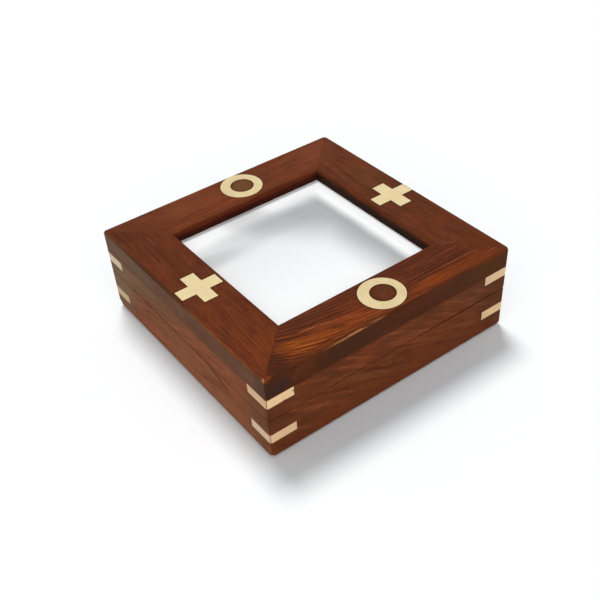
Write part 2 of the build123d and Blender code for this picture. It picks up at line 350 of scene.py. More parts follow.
def addRings(paint, wood, grain, colour):
    # growth rings: thin lines that darken slowly and end crisply
    rings = {**plainRings, **wood["rings"]}
    turn = (grain.across + grain.depth) * rings["pace"]
    level = paint.maths("FRACT", turn + (grain.bands - noiseMiddle) * rings["sway"])
    broken = paint.rise(blend("even", grain.streaks, grain.crowd), *levels["broken"])
    broken = 1.0 - rings["breaks"] * (1.0 - broken)
    late = paint.rise(level, *levels["lateWood"]) * paint.rise(level, *levels["lateEnd"])
    line = late * broken
    if "within" in rings:
        line = line * (rings["outside"] + softSpot(paint, grain.point, rings["within"]))
    colour = paint.mix(line * rings["amount"], colour, tone(*wood["pore"]))
    if "light" in rings:
        early = paint.rise(level, *levels["earlyWood"]) * paint.rise(level, *levels["earlyEnd"])
        light = early * broken * rings["lightAmount"]
        colour = paint.mix(light, colour, tone(*rings["light"]))
    return colour


def addMarks(paint, wood, grain, colour):
    # single lines of the figure
    for mark in wood["marks"]:
        ragged = paint.rise(blend("even", grain.hairs, grain.streaks), *levels["ragged"])
        mask = softSpot(paint, grain.point, mark) * ragged
        colour = paint.mix(mask, colour, tone(*mark["tone"]))
    return colour


def addEdges(paint, wood, grain, colour):
    half, top, window = box["half"], box["top"], box["window"]
    if "outer" in wood:
        # the rail's outer edge, and the darker upper margin of the side under it
        outer = {**plainOuter, **wood["outer"]}
        height = grain.z + (grain.streaks - noiseMiddle) * outer["ragged"]
        outside = paint.rise(grain.plan, half - outer["inset"], half - woodLook["edge"])
        outside = outside * paint.rise(height, outer["from"], outer["to"])
        colour = paint.mix(outside * outer["amount"], colour, tone(*outer["tone"]))
        mottled = paint.rise(grain.figure("mottle"), *levels["mottle"])
        mottled = outside * mottled * woodLook["mottled"]
        colour = paint.mix(mottled, colour, tone(*outer["mottle"]))
    for spot in wood["edgeSpots"]:
        colour = paint.mix(softSpot(paint, grain.point, spot), colour, tone(*spot["tone"]))
    if "inner" in wood:
        # the walls of the window, painted darker: partly their own tone, partly painted shade,
        # darkest at their foot next to the panel
        inner = {**plainInner, **wood["inner"]}
        near, far = [window + step for step in woodLook["lip"]]
        soft = woodLook["lipSoft"]
        inside = paint.rise(grain.plan, window + inner["reach"], near)
        inside = inside * paint.rise(grain.z, inner["under"] + soft, inner["under"] - soft)
        colour = paint.mix(inside * inner["amount"], colour, tone(*inner["tone"]))
        height = grain.z + (grain.streaks - noiseMiddle) * woodLook["deepRagged"]
        deep = paint.rise(grain.plan, far, near) * paint.rise(height, *levels["deep"])
        colour = paint.mix(deep * inner["amount"], colour, tone(*inner["deep"]))
    if "arris" in wood:
        # the top's outer arris: a painted highlight on the front and left rails, a darker line on
        # the back and right rails, broken by the streaks
        arris = wood["arris"]
        fromArris = half - grain.plan + (top - grain.z)
        worn = paint.rise(fromArris, *levels["worn"])
        worn = worn * paint.rise(grain.streaks, *levels["wornStreaks"])
        if "within" in arris:
            worn = worn * softSpot(paint, grain.point, arris["within"])
        colour = paint.mix(worn * arris["amount"], colour, tone(*arris["tone"]))
    return colour


def woodFinish(name, ownLook):
    wood = {**plainWood, **ownLook}
    paint = Paint(name)
    grain = Grain(paint, wood)
    colour = figureColour(paint, wood, grain)
    if "strokes" in wood:
        colour = addStrokes(paint, wood, grain, colour)
    colour = addSpots(paint, wood, grain, colour)
    if "rings" in wood:
        colour = addRings(paint, wood, grain, colour)
    colour = addMarks(paint, wood, grain, colour)
    colour = addEdges(paint, wood, grain, colour)
    colour = paint.mix(grain.pores * wood["poreAmount"], colour, tone(*wood["pore"]))
    if "inlay" in wood:
        inlay = wood["inlay"]
        low, high = [box["top"] - step for step in woodLook["seamDepth"]]
        seam = inlaySeam(paint, grain, inlay) * paint.rise(grain.z, low, high)
        colour = paint.mix(seam * inlay["amount"], colour, tone(*inlay["tone"]))

    # dark glue in the mitres
    ragged = (grain.streaks - noiseMiddle) * woodLook["mitreRagged"]
    mitre = paint.size(paint.size(grain.x) - paint.size(grain.y)) + ragged
    glue = paint.rise(mitre, *levels["mitre"])
    for signX, signY, amount in wood["glue"]:
        near = paint.lesser(grain.x * signX, grain.y * signY)
        dark = glue * paint.rise(near, *levels["corner"]) * amount
        colour = paint.mix(dark, colour, tone(*wood["pore"]))

    dull, rough = woodLook["roughness"], woodLook["height"]
    roughness = wood["roughness"] + (grain.fibres - noiseMiddle) * dull["fibres"]
    roughness = roughness + grain.pores * dull["pores"]
    height = 1.0 - grain.pores * rough["pores"] + grain.fibres * rough["fibres"]
    height = height + grain.hairs * rough["hairs"] - glue * rough["glue"]
    return paint.surface({
        "Base Color": colour, "Roughness": roughness, "Specular IOR Level": woodLook["gloss"],
        "Normal": paint.bump(height, woodLook["poreDepth"])})


# The four rails of the lid's frame. Tones run from the darkest streak to the lightest, a larger
# fine gives a finer figure, wander bends it, and glue lists a corner's two signs and an amount.
rails = {
    "top_rail_front": {
        "along": "x", "seed": 2.0, "wander": 4.0, "roughness": 0.42, "fine": 1.5,
        "fan": {"from": -76.0, "fades": 25.0, "sweep": 28.0}, "weights": (0.2, 0.38, 0.26, 0.16),
        "curl": 0.14, "threads": 0.6,
        "tones": [(58, 25, 14), (88, 41, 22), (107, 50, 25), (140, 71, 37)],
        "warm": (118, 52, 24), "cool": (84, 43, 27), "pore": (48, 20, 10), "poreAmount": 0.6,
        "spots": [
            patch((-32, -68.5, 51), (44, 8.5, 14), 0.9, (152, 73, 30), streaked=0.8),
            patch((-49, -66, 51), (14, 6, 14), 0.85, (168, 88, 28),
                  lean=(1, 0, -0.25), streaked=0.6),
            patch((-65, -69, 51), (10, 8, 14), 0.9, (62, 29, 22), streaked=0.3),
            patch((-56, -74, 51), (14, 4, 14), 0.6, (92, 44, 24), streaked=0.4),
            patch((54, -61, 51), (22, 7, 14), 0.6, (80, 36, 15), streaked=0.3),
            patch((30, -53, 51), (60, 6, 14), 0.6, (80, 38, 20), streaked=0.3),
            patch((40, -71.5, 51), (36, 5.5, 14), 0.9, (123, 56, 19), streaked=0.4),
            patch((28, -70, 51), (10, 4, 14), 0.5, (140, 66, 22)),
            patch((28, -62, 51), (15, 5, 14), 0.8, (74, 37, 22), streaked=0.4),
            patch((-36, -53.5, 51), (22, 5, 14), 0.75, (86, 46, 31), streaked=0.2),
            patch((6, -52, 51), (40, 5, 14), 0.6, (84, 40, 28), streaked=0.4)],
        "marks": [
            patch((-47, -69.5, 51), (16, 0.8, 3), 0.9, (66, 27, 13), lean=(1, 0, -0.3)),
            patch((-44, -67.5, 51), (8, 0.9, 3), 0.8, (78, 34, 16), lean=(1, 0, -0.3)),
            patch((-28, -67.5, 51), (6, 1.4, 3), 0.8, (74, 38, 16), lean=(1, 0, -0.35)),
            patch((-35, -61, 51), (13, 0.8, 3), 0.8, (168, 92, 56), lean=(1, 0, -0.2)),
            patch((-52, -57.5, 51), (7, 0.7, 3), 0.7, (134, 76, 46), lean=(1, 0, -0.42)),
            patch((-48, -60.5, 51), (11, 0.9, 3), 0.8, (70, 29, 14), lean=(1, 0, -0.36)),
            patch((-30, -75, 51), (9, 0.9, 3), 0.85, (52, 22, 12)),
            patch((48, -65.7, 51), (20, 0.7, 3), 0.65, (138, 72, 42)),
            patch((46, -64, 51), (24, 0.9, 3), 0.85, (70, 29, 14)),
            patch((24, -62.8, 51), (10, 0.6, 3), 0.6, (130, 70, 46)),
            patch((50, -57.5, 51), (12, 0.6, 3), 0.6, (130, 66, 42)),
            patch((48, -67.3, 51), (20, 0.7, 3), 0.6, (84, 34, 14)),
            patch((59, -60.6, 51), (5, 0.5, 3), 0.6, (138, 74, 48)),
            patch((30, -56, 51), (9, 0.6, 3), 0.5, (126, 66, 44))],
        "rings": {
            "pace": 0.46, "sway": 1.8, "breaks": 0.5, "amount": 0.55, "outside": 0.55,
            "within": patch((-45, -60, 51), (45, 22, 20), 0.45), "light": (134, 72, 44),
            "lightAmount": 0.28},
        "outer": {
            "tone": (80, 40, 18), "mottle": (98, 51, 24), "amount": 0.9, "from": 38.0, "to": 39.5,
            "inset": 1.8},
        "edgeSpots": [
            patch((4.1, -62, 51), (8.5, 8.5, 6), 0.85, (92, 48, 30)),
            patch((6.5, -60.5, 51), (3.4, 2.6, 6), 0.6, (84, 56, 30)),
            patch((3.0, -63.0, 51), (2.6, 2.0, 6), 0.5, (118, 60, 44)),
            patch((-70, -77, 43.5), (11, 4, 8), 0.85, (62, 38, 32)),
            patch((-53, -77, 48.5), (9, 4, 6), 0.5, (104, 53, 32), lean=(0, 2, 0.8)),
            patch((-28, -77, 44), (23, 4, 9), 0.75, (70, 42, 24), lean=(0, 2, 0.9)),
            patch((18, -77, 45), (22, 4, 8), 0.5, (84, 38, 25)),
            patch((66, -77, 44), (26, 4, 10), 0.9, (82, 44, 6)),
            patch((62, -76.5, 51), (22, 3, 2.4), 0.75, (114, 53, 24)),
            patch((-66, -73.6, 51), (8.0, 3.0, 3.0), 0.85, (68, 38, 24)),
            # the worn tip of the near corner, painted lighter as a painted highlight
            patch((-73.8, -74.4, 51), (3.6, 1.8, 3.0), 0.6, (138, 66, 32))],
        "inner": {"tone": (80, 36, 22), "deep": (60, 26, 15), "amount": 0.8},
        # a painted highlight along the front arris
        "arris": {
            "tone": (222, 150, 94), "amount": 0.75, "within": patch((-24, -76, 51), (22, 3, 3))},
        "inlay": {
            "shape": "ring", "at": (3.4, -62.0), "eye": 0.7, "tone": (66, 36, 16), "amount": 0.9},
        "glue": [(-1, -1, 0.3), (1, -1, 0.12)]},
    "top_rail_left": {
        "along": "y", "seed": 5.3, "wander": 9.0, "slopeAcross": 0.04, "roughness": 0.46,
        "fine": 1.2, "tones": [(76, 34, 18), (97, 46, 25), (108, 53, 29), (128, 67, 40)],
        "warm": (118, 54, 26), "cool": (92, 50, 30), "pore": (60, 27, 14), "poreAmount": 0.55,
        "spots": [
            patch((-58, -60, 51), (14, 15, 14), 0.6, (126, 58, 24), streaked=0.4),
            patch((-64, -34, 51), (16, 16, 14), 0.4, (122, 60, 34), streaked=0.3),
            patch((-64, 30, 51), (16, 30, 14), 0.55, (96, 48, 26), streaked=0.5),
            patch((-66, 66, 51), (14, 12, 14), 0.6, (88, 42, 23), streaked=0.4)],
        "marks": [
            patch((-66, 40, 51), (0.9, 13, 3), 0.7, (66, 29, 15), lean=(0, 1, 0.06)),
            patch((-57, -30, 51), (0.9, 20, 3), 0.55, (76, 34, 18), lean=(0, 1, -0.03)),
            patch((-70, -34, 51), (0.8, 16, 3), 0.6, (70, 31, 17), lean=(0, 1, 0.04)),
            patch((-61, 52, 51), (0.8, 10, 3), 0.5, (132, 70, 42))],
        "rings": {"pace": 0.22, "sway": 3.0, "breaks": 0.8, "amount": 0.35},
        "outer": {
            "tone": (102, 66, 42), "mottle": (118, 80, 52), "amount": 0.75, "from": 38.0,
            "to": 40.5},
        "edgeSpots": [
            # the worn tip of the near corner, painted lighter as a painted highlight
            patch((-75.3, -74.6, 50.9), (0.9, 1.9, 1.3), 0.7, (206, 134, 98), lean=(0, 1, 0.3)),
            patch((-77, -73, 44), (4, 8, 9), 0.6, (74, 50, 38)),
            patch((-77, -62, 46), (4, 10, 7), 0.5, (112, 74, 50)),
            patch((-77, -30, 43), (4, 26, 7), 0.6, (104, 62, 40)),
            patch((-77, 52, 46), (4, 40, 9), 0.7, (106, 80, 56)),
            patch((-76, 30, 51), (2.0, 50, 1.6), 0.8, (70, 40, 24))],
        "inner": {"tone": (92, 44, 26), "deep": (80, 34, 20), "amount": 0.6},
        "arris": {
            "tone": (150, 78, 44), "amount": 0.6, "within": patch((-76, -48, 51), (3, 28, 3))},
        "inlay": {"shape": "cross", "at": (-62.0, 0.0), "tone": (62, 36, 14), "amount": 0.9},
        "glue": [(-1, -1, 0.3), (-1, 1, 0.06)]},
    "top_rail_back": {
        "along": "x", "seed": 8.1, "wander": 8.0, "slopeAcross": 0.03, "roughness": 0.46,
        "fine": 1.2, "tones": [(86, 42, 23), (103, 52, 29), (113, 57, 32), (130, 70, 42)],
        "warm": (124, 56, 30), "cool": (96, 56, 34), "pore": (66, 32, 17), "poreAmount": 0.5,
        "spots": [
            patch((-66, 60, 51), (20, 22, 14), 0.7, (92, 48, 27), streaked=0.3),
            patch((62, 66, 51), (20, 16, 14), 0.6, (126, 66, 42), streaked=0.2),
            patch((-26, 66, 51), (26, 14, 14), 0.5, (126, 68, 40), streaked=0.2)],
        "marks": [
            patch((-30, 57, 51), (16, 0.7, 3), 0.5, (76, 36, 20), lean=(1, 0, 0.05)),
            patch((36, 60, 51), (14, 0.7, 3), 0.5, (80, 39, 22), lean=(1, 0, 0.04)),
            patch((-28, 52.5, 51), (18, 1.0, 3), 0.5, (136, 72, 38))],
        "rings": {"pace": 0.2, "sway": 3.0, "breaks": 0.8, "amount": 0.3},
        "outer": {
            "tone": (88, 48, 31), "mottle": (102, 56, 34), "amount": 0.6, "from": 39.0,
            "to": 41.5},
        "edgeSpots": [patch((6.4, 63.2, 51), (8.5, 8.5, 6), 0.8, (106, 74, 42))],
        "inner": {
            "tone": (104, 40, 22), "deep": (60, 24, 14), "amount": 0.85, "reach": 0.8,
            "under": 50.2},
        "arris": {"tone": (84, 42, 25), "amount": 0.7},
        "inlay": {
            "shape": "ring", "at": (6.0, 63.2), "eye": 0.4, "tone": (78, 44, 20), "amount": 0.85},
        "glue": [(1, 1, 0.08), (-1, 1, 0.06)]},
    "top_rail_right": {
        "along": "y", "seed": 11.7, "wander": 9.0, "slopeAcross": -0.03, "roughness": 0.48,
        "fine": 1.2, "tones": [(76, 37, 20), (91, 45, 25), (100, 50, 28), (114, 60, 35)],
        "warm": (112, 52, 28), "cool": (88, 50, 29), "pore": (56, 27, 15), "poreAmount": 0.5,
        "spots": [
            patch((68, -66, 51), (14, 18, 14), 0.7, (100, 48, 20), streaked=0.2),
            patch((60, 60, 51), (16, 16, 14), 0.4, (116, 64, 36), streaked=0.2),
            patch((64, 26, 51), (16, 22, 14), 0.5, (110, 64, 37), streaked=0.2)],
        "marks": [
            patch((56, -53, 51), (3.4, 1.0, 3), 0.6, (140, 78, 52), lean=(1, 0, -0.7)),
            patch((66, -30, 51), (0.8, 16, 3), 0.5, (72, 35, 20), lean=(0, 1, -0.05)),
            patch((58, 30, 51), (0.8, 14, 3), 0.5, (74, 36, 21), lean=(0, 1, 0.04))],
        "rings": {"pace": 0.2, "sway": 3.0, "breaks": 0.8, "amount": 0.3},
        "outer": {
            "tone": (82, 46, 28), "mottle": (98, 56, 32), "amount": 0.6, "from": 39.0, "to": 41.5},
        "inner": {
            "tone": (52, 30, 18), "deep": (44, 24, 14), "amount": 0.85, "reach": 0.8,
            "under": 49.4},
        "arris": {"tone": (58, 32, 19), "amount": 0.8},
        "inlay": {"shape": "cross", "at": (63.5, 0.0), "tone": (60, 38, 14), "amount": 0.9},
        "glue": [(1, -1, 0.12), (1, 1, 0.08)]}}
for name, wood in rails.items():
    dress(name, woodFinish(name + "_wood", wood))
print("rails finished")

# The case's sides. Lid and base were sawn from one box, so the figure runs on across the split.
sides = {
    "front": {
        "along": "x", "seed": 14.2, "wander": 6.0, "slopeDown": -0.38, "roughness": 0.46,
        "weights": (0.3, 0.34, 0.22, 0.14), "curl": 0.2,
        "tones": [(86, 41, 21), (104, 54, 27), (116, 62, 33), (132, 74, 42)],
        "warm": (130, 60, 32), "cool": (98, 56, 30), "pore": (64, 30, 16), "poreAmount": 0.45,
        "strokes": {
            "slope": -0.42, "long": 0.032, "thin": 0.26, "tone": (158, 82, 46), "amount": 0.8},
        "spots": [
            patch((-76, -76, 28), (18, 10, 16), 0.7, (92, 48, 28), streaked=0.3),
            patch((-44, -76, 33), (22, 10, 6), 0.6, (94, 50, 28), streaked=0.3),
            # painted light: the bottom strip lighter, against the shade near the floor
            patch((0, -76, 3), (110, 10, 12), 0.75, (128, 64, 34), streaked=0.3),
            patch((20, -76, 14), (26, 10, 10), 0.55, (126, 62, 32), streaked=0.4),
            patch((-31, -76, 15), (13, 10, 8), 0.5, (126, 64, 34), streaked=0.4),
            patch((8, -76, 28), (16, 10, 4), 0.7, (148, 76, 42), lean=(2, 0, -0.3), streaked=0.5),
            patch((70, -76, 22), (18, 10, 26), 0.75, (86, 48, 16), streaked=0.3)],
        "marks": [
            patch((-28, -76, 31.5), (12, 3, 1.5), 0.7, (158, 80, 52), lean=(2, 0, -0.44)),
            patch((-31, -76, 16.5), (8, 3, 1.3), 0.7, (158, 86, 48), lean=(2, 0, -0.46)),
            patch((16, -76, 29), (11, 3, 1.1), 0.7, (160, 84, 54), lean=(2, 0, -0.4)),
            patch((43, -76, 33), (8, 3, 0.6), 0.5, (164, 92, 56), lean=(2, 0, -0.62)),
            patch((22, -76, 20), (12, 3, 1.3), 0.6, (146, 78, 42), lean=(2, 0, -0.42)),
            patch((50, -76, 25.4), (38, 3, 0.8), 0.9, (84, 26, 8)),
            patch((-8, -76, 21.5), (22, 3, 1.0), 0.5, (76, 36, 18), lean=(2, 0, -0.1))],
        "outer": {
            "tone": (82, 42, 24), "mottle": (96, 50, 28), "amount": 0.8, "from": 37.6, "to": 39.6},
        "glue": [(-1, -1, 0.5), (1, -1, 0.5)]},
    "left": {
        "along": "y", "seed": 17.9, "wander": 7.0, "slopeDown": -0.16, "roughness": 0.46,
        "weights": (0.32, 0.34, 0.2, 0.14), "curl": 0.24,
        "tones": [(104, 54, 26), (126, 70, 36), (138, 78, 42), (154, 92, 52)],
        "warm": (150, 76, 42), "cool": (120, 78, 44), "pore": (76, 37, 18), "poreAmount": 0.65,
        "strokes": {
            "slope": -0.45, "long": 0.03, "thin": 0.22, "tone": (160, 90, 54), "amount": 0.45},
        "spots": [
            # greyer in the back half, at the top and towards the back end: partly the wood's tone,
            # partly a painted grey sheen
            patch((-76, 44, 40), (12, 50, 15), 0.85, (116, 86, 58), streaked=0.4),
            patch((-76, 76, 30), (12, 32, 40), 0.9, (116, 94, 68), streaked=0.2),
            patch((-76, -72, 24), (12, 18, 15), 0.65, (104, 66, 38), streaked=0.3),
            patch((-76, -70, 6), (12, 14, 8), 0.7, (104, 70, 36), streaked=0.5),
            # painted light: the bottom strip lighter, against the shade near the floor
            patch((-76, -16, 4), (12, 80, 12), 0.8, (164, 100, 66), streaked=0.3),
            patch((-76, 6, 18), (12, 26, 14), 0.5, (152, 88, 54), streaked=0.3)],
        "marks": [
            patch((-76, -33, 22), (3, 15, 1.6), 0.75, (80, 42, 21), lean=(2, 1, 0.33)),
            patch((-76, -17, 24.6), (3, 12, 1.0), 0.65, (88, 46, 23), lean=(2, 1, 0.04)),
            patch((-76, 12, 24.3), (3, 20, 1.2), 0.5, (96, 52, 26), lean=(2, 1, -0.02)),
            patch((-76, -30, 38.8), (3, 28, 0.8), 0.6, (84, 46, 28)),
            patch((-76, -20, 12), (3, 18, 1.6), 0.4, (104, 56, 28), lean=(2, 1, -0.3)),
            patch((-76, -70, 7), (3, 6, 1.0), 0.7, (78, 50, 32), lean=(2, 1, -0.35)),
            patch((-76, -64, 4.5), (3, 5, 0.8), 0.6, (84, 56, 36), lean=(2, 1, -0.3)),
            patch((-76, -71, 3), (3, 5, 1.6), 0.6, (76, 50, 36)),
            patch((-76, -52, 15.5), (3, 8, 1.2), 0.6, (100, 64, 36), lean=(2, 1, 0.12)),
            patch((-76, -75, 26), (3, 2.6, 9), 0.6, (78, 48, 32)),
            patch((-76, 52, 24), (3, 3, 0.8), 0.8, (76, 50, 34), lean=(2, 1, -0.5))],
        "rings": {"pace": 0.16, "sway": 4.0, "amount": 0.3},
        # the upper band greyer: partly the wood's tone, partly a painted grey sheen
        "outer": {
            "tone": (106, 70, 44), "mottle": (122, 80, 52), "amount": 0.65, "from": 35.5,
            "to": 41.5, "ragged": 7.0},
        "glue": [(-1, -1, 0.5), (-1, 1, 0.4)]},
    "back": {
        "along": "x", "seed": 21.4, "wander": 6.0, "slopeDown": 0.2, "roughness": 0.46,
        "tones": [(86, 42, 24), (102, 52, 29), (112, 59, 34), (124, 68, 40)],
        "warm": (118, 60, 30), "cool": (98, 54, 34), "pore": (62, 30, 18), "poreAmount": 0.4,
        "strokes": {
            "slope": 0.3, "long": 0.03, "thin": 0.22, "tone": (144, 80, 46), "amount": 0.45},
        "outer": {
            "tone": (92, 48, 32), "mottle": (104, 56, 34), "amount": 0.6, "from": 36.5,
            "to": 41.0},
        "glue": [(1, 1, 0.5), (-1, 1, 0.5)]},
    "right": {
        "along": "y", "seed": 25.6, "wander": 7.0, "slopeDown": 0.12, "roughness": 0.46,
        "tones": [(88, 44, 25), (104, 55, 31), (114, 61, 35), (126, 70, 42)],
        "warm": (120, 62, 32), "cool": (100, 56, 36), "pore": (62, 30, 18), "poreAmount": 0.45,
        "rings": {"pace": 0.16, "sway": 4.0, "amount": 0.25},
        "outer": {
            "tone": (94, 52, 34), "mottle": (106, 60, 38), "amount": 0.6, "from": 36.5,
            "to": 41.0},
        "glue": [(1, -1, 0.5), (1, 1, 0.5)]}}
for side, wood in sides.items():
    material = woodFinish("case_" + side + "_wood", wood)
    dress("base_wall_" + side, material)
    dress("lid_rim_" + side, material)
print("case finished")

# The playing board, the bottom and the lid's lining
boards = {
    "playing_board": {
        "along": "x", "seed": 31.2, "wander": 4.0, "roughness": 0.5,
        "weights": (0.4, 0.32, 0.18, 0.1), "curl": 0.08, "warmAmount": 0.3, "coolAmount": 0.3,
        "tones": [(76, 38, 22), (98, 51, 28), (110, 59, 33), (126, 72, 42)],
        "warm": (112, 55, 26), "cool": (92, 50, 30), "pore": (50, 24, 14), "poreAmount": 0.6,
        "rings": {"pace": 0.14, "sway": 6.0, "amount": 0.4}},
    "bottom_board": {
        "along": "x", "seed": 35.8, "wander": 4.0, "roughness": 0.62,
        "weights": (0.44, 0.3, 0.16, 0.1), "curl": 0.05, "warmAmount": 0.25, "coolAmount": 0.25,
        "threads": 0.3, "tones": [(104, 66, 42), (124, 82, 54), (136, 92, 61), (150, 106, 72)],
        "warm": (130, 84, 52), "cool": (118, 80, 54), "pore": (84, 50, 32), "poreAmount": 0.5,
        "rings": {"pace": 0.12, "sway": 7.0, "amount": 0.3}},
    "lid_lining": {
        "along": "x", "seed": 39.5, "wander": 4.0, "roughness": 0.6,
        "weights": (0.44, 0.3, 0.16, 0.1), "curl": 0.05, "warmAmount": 0.25, "coolAmount": 0.25,
        "threads": 0.3, "tones": [(98, 60, 38), (118, 75, 48), (130, 85, 55), (144, 98, 66)],
        "warm": (126, 78, 46), "cool": (112, 74, 50), "pore": (80, 46, 30), "poreAmount": 0.5,
        "rings": {"pace": 0.12, "sway": 7.0, "amount": 0.3}}}
for name, wood in boards.items():
    dress(name, woodFinish(name + "_wood", wood))
print("boards finished")

# What all brass shares
metalLook = {
    "blur": {"every": 0.11, "detail": 2.0, "rough": 0.5, "level": (0.35, 0.65)},
    "grit": {"every": 2.4, "detail": 2.0, "rough": 0.6, "level": (0.45, 0.75)},
    "scratch": {"detail": 3.0, "rough": 0.6, "level": (0.60, 0.80), "amount": 0.25},
    "pits": {"every": 1.5, "detail": 1.0, "rough": 0.3, "level": (0.70, 0.78)},
    "leg": (-0.2, 0.2), "cornerShade": (0.50, 0.18), "cornerShadeAmount": 0.8,
    "roughness": {"grit": 0.2, "scratch": 0.25, "stainAndShade": 0.2}, "staining": 0.6,
    "height": {"grit": 0.3, "scratch": 0.5}, "bump": 0.6}


def brassFinish(name, brass):
    paint = Paint(name)
    place = paint.place()
    point = x, y, z = paint.parts(place)
    seed, look = brass["seed"], metalLook
    blur, grit, scratch, pits = [look[kind] for kind in ("blur", "grit", "scratch", "pits")]
    blurField = paint.noise(place * blur["every"] + (seed, 0.0, 0.0), blur)
    gritField = paint.noise(place * grit["every"] + (0.0, seed, 0.0), grit)
    scratches = paint.noise(place * brass["brush"] + (seed, seed, 0.0), scratch)
    pitField = paint.noise(place * pits["every"] + (0.0, 0.0, seed), pits)

    blurred = paint.rise(blurField, *blur["level"])
    colour = paint.mix(blurred, tone(*brass["tone"]), tone(*brass["other"]))
    isKey = "side" in brass
    if isKey:
        # a key's leg on the left or right face takes its own tone: painted light and shade, as the
        # sides catch the light differently from the front or back
        beyond = paint.size(x) - paint.size(y)
        colour = paint.mix(paint.rise(beyond, *look["leg"]), colour, tone(*brass["side"]))
    gritty = paint.rise(gritField, *grit["level"]) * brass["grit"]
    colour = paint.mix(gritty, colour, tone(*brass["dull"]))
    scratched = paint.rise(scratches, *scratch["level"]) * scratch["amount"]
    colour = paint.mix(scratched, colour, tone(*brass["shine"]))
    stainAndShade = paint.rise(pitField, *pits["level"]) * brass["pits"]
    if isKey:
        # painted shade: a thin dark line where the two faces of a key meet
        cornerShade = paint.rise(paint.size(beyond), *look["cornerShade"]) * look["cornerShadeAmount"]
        stainAndShade = paint.greater(stainAndShade, cornerShade)
    for notch in brass.get("notches", []):
        stainAndShade = paint.greater(stainAndShade, softSpot(paint, point, notch))
    colour = paint.mix(stainAndShade, colour, tone(*brass["stainAndShade"]))

    dull, rough = look["roughness"], look["height"]
    roughness = brass["roughness"] + (gritField - noiseMiddle) * dull["grit"]
    roughness = roughness + (scratches - noiseMiddle) * dull["scratch"] + stainAndShade * dull["stainAndShade"]
    height = scratches * rough["scratch"] + gritField * rough["grit"] - stainAndShade
    return paint.surface({
        "Base Color": colour, "Roughness": roughness,
        "Metallic": brass["metal"] - stainAndShade * look["staining"],
        "Normal": paint.bump(height, brass["depth"], look["bump"])})


brasses = {
    "cross": {
        "seed": 1.0, "tone": (238, 218, 168), "other": (232, 212, 164), "dull": (206, 182, 128),
        "grit": 0.25, "shine": (246, 228, 182), "stainAndShade": (120, 88, 44), "pits": 0.3,
        "brush": (0.4, 3.4, 3.4), "roughness": 0.38, "metal": 0.9, "depth": 0.015},
    "ring": {
        "seed": 4.0, "tone": (232, 212, 164), "other": (224, 204, 156), "dull": (200, 176, 124),
        "grit": 0.25, "shine": (242, 224, 178), "stainAndShade": (120, 88, 44), "pits": 0.3,
        "brush": (3.4, 0.4, 3.4), "roughness": 0.38, "metal": 0.9, "depth": 0.015},
    "piece": {
        "seed": 10.0, "tone": (232, 206, 146), "other": (224, 196, 134), "dull": (190, 158, 96),
        "grit": 0.3, "shine": (242, 220, 164), "stainAndShade": (110, 78, 36), "pits": 0.4,
        "brush": (0.5, 3.4, 3.4), "roughness": 0.34, "metal": 0.95, "depth": 0.015},
    "hinge": {
        "seed": 13.0, "tone": (220, 188, 118), "other": (206, 172, 100), "dull": (150, 116, 60),
        "grit": 0.35, "shine": (234, 206, 140), "stainAndShade": (80, 56, 28), "pits": 0.6,
        "brush": (0.3, 4.0, 4.0), "roughness": 0.33, "metal": 1.0, "depth": 0.012},
    "screw": {
        "seed": 16.0, "tone": (222, 190, 120), "other": (204, 168, 96), "dull": (140, 106, 56),
        "grit": 0.4, "shine": (234, 206, 140), "stainAndShade": (70, 48, 26), "pits": 0.6,
        "brush": (3.0, 3.0, 3.0), "roughness": 0.36, "metal": 1.0, "depth": 0.012}}

# The keys' tones differ from corner to corner and from face to face: painted light and shade,
# lightest at the near corner.
keys = {
    "lid_key_front_left": {
        "seed": 7.0, "tone": (255, 219, 162), "other": (255, 213, 157), "side": (218, 177, 129),
        "metal": 0.2,
        "notches": [
            patch((-60.8, -76, 37.0), (1.3, 1.0, 0.7)),
            patch((-66.2, -76, 33.9), (1.6, 1.0, 0.6))]},
    "base_key_front_left": {
        "seed": 7.6, "tone": (255, 212, 160), "other": (255, 206, 155), "side": (230, 193, 155),
        "metal": 0.05},
    "lid_key_front_right": {
        "seed": 8.3, "tone": (230, 193, 148), "other": (222, 186, 144), "side": (216, 184, 144)},
    "base_key_front_right": {
        "seed": 8.9, "tone": (236, 199, 143), "other": (228, 190, 137), "side": (216, 184, 144)},
    "lid_key_back_left": {
        "seed": 9.4, "tone": (220, 190, 148), "other": (212, 182, 142), "side": (204, 182, 142)},
    "base_key_back_left": {
        "seed": 9.8, "tone": (214, 184, 142), "other": (206, 176, 136), "side": (188, 154, 108)},
    "lid_key_back_right": {
        "seed": 10.3, "tone": (222, 190, 146), "other": (214, 182, 140), "side": (214, 182, 142)},
    "base_key_back_right": {
        "seed": 10.8, "tone": (220, 188, 144), "other": (212, 180, 138), "side": (212, 180, 140)}}
keyWear = {
    "dull": (188, 150, 108), "grit": 0.35, "shine": (250, 222, 176), "stainAndShade": (92, 56, 30),
    "pits": 0.6, "brush": (0.5, 0.5, 3.6), "roughness": 0.42, "metal": 0.4, "depth": 0.02}
for name, brass in keys.items():
    dress(name, brassFinish(name + "_brass", {**keyWear, **brass}))
brassFinishes = {name: brassFinish(name + "_brass", brass) for name, brass in brasses.items()}
for name in nodes:
    if name.startswith("inlay_cross"):
        dress(name, brassFinishes["cross"])
    elif name.startswith("inlay_ring"):
        dress(name, brassFinishes["ring"])
    elif "_piece_" in name or name.startswith("grid_strip"):
        dress(name, brassFinishes["piece"])
    elif name.startswith("hinge_screws"):
        dress(name, brassFinishes["screw"])
    elif name.startswith("hinge"):
        dress(name, brassFinishes["hinge"])
print("brass finished")
